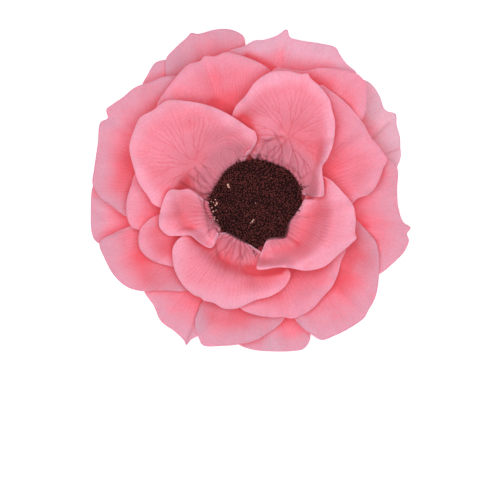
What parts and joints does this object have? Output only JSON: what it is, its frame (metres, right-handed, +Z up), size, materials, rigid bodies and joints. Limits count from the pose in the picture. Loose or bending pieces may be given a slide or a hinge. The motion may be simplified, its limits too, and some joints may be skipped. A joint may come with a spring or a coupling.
{
  "type": "preserved anemone flower head",
  "caption": "Preserved anemone flower head: overlapping soft pink petals round a dark domed centre, cut off below the receptacle to lie face up.",
  "frame": {"origin": "middle of the round cut under the receptacle, on the surface that the head lies on", "axes": "+Z up through the middle of the boss, +Y towards the side of the head that is uppermost when it is looked at from above, +X to the right"},
  "size_m": [0.0897, 0.0908, 0.0278],
  "materials": {
    "petal_inner": "matte velvety preserved petal, mid pink with fine red veins",
    "petal_second": "matte velvety preserved petal, pink with paler margins",
    "petal_third": "matte velvety preserved petal, salmon pink",
    "petal_outer": "matte velvety preserved petal, pale lilac pink at the margin",
    "centre_boss": "dry, rough packed florets, near-black red-brown",
    "receptacle": "dry matte plant tissue, dull green"
  },
  "bodies": {
    "root": {"receptacle": "receptacle", "centre_boss": "centre_boss", "petal_outer_1": "petal_outer", "petal_outer_2": "petal_outer", "petal_outer_3": "petal_outer", "petal_outer_4": "petal_outer", "petal_outer_5": "petal_outer", "petal_third_1": "petal_third", "petal_third_2": "petal_third", "petal_third_3": "petal_third", "petal_third_4": "petal_third", "petal_third_5": "petal_third", "petal_third_6": "petal_third", "petal_third_7": "petal_third", "petal_second_1": "petal_second", "petal_second_2": "petal_second", "petal_second_3": "petal_second", "petal_second_4": "petal_second", "petal_second_5": "petal_second", "petal_second_6": "petal_second", "petal_second_7": "petal_second", "petal_inner_1": "petal_inner", "petal_inner_2": "petal_inner", "petal_inner_3": "petal_inner", "petal_inner_4": "petal_inner", "petal_inner_5": "petal_inner"}
  },
  "joints": []
}
